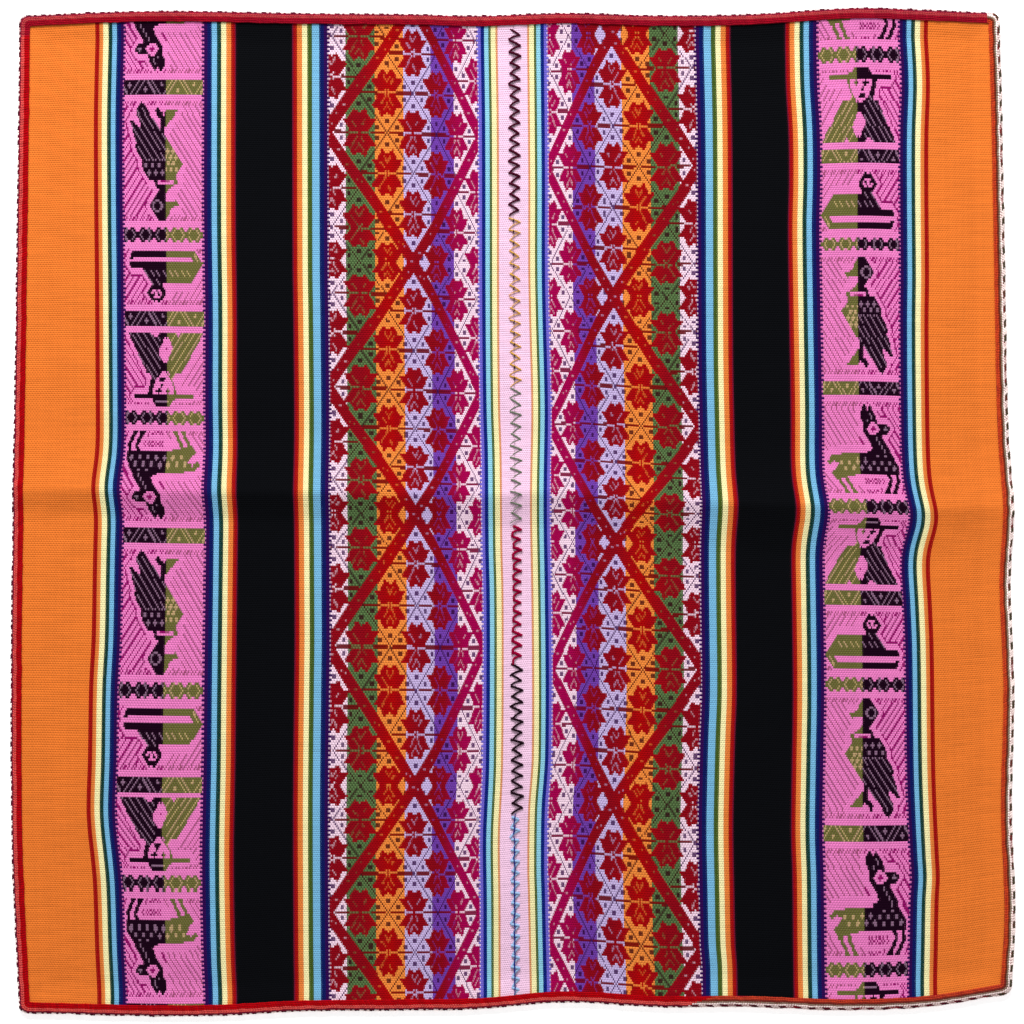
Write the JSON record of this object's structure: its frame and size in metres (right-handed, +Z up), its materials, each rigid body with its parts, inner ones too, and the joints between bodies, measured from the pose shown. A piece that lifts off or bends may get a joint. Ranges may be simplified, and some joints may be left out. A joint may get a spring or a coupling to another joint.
{
  "type": "andean mesa cloth",
  "caption": "Square handwoven ceremonial cloth of joined striped webs with figured bands and a woven edging, laid flat.",
  "frame": {"origin": "on the surface that the cloth lies on, under the middle of its outline", "axes": "+Z up from the surface, +X towards the right web, +Y along the stripes towards the top edge of the picture"},
  "size_m": [0.6118, 0.6154, 0.0071],
  "materials": {
    "web_wool": "warp-faced handwoven wool, matt, in bright lengthwise stripes with figured and flower bands",
    "edging_wool": "woven tubular edging in crimson wool with small dark and white eyes along its outer side",
    "seam_wool": "plied sewing yarn in changing colours"
  },
  "bodies": {
    "root": {"left_web": "web_wool", "right_web": "web_wool", "edging": "edging_wool"}
  },
  "joints": []
}
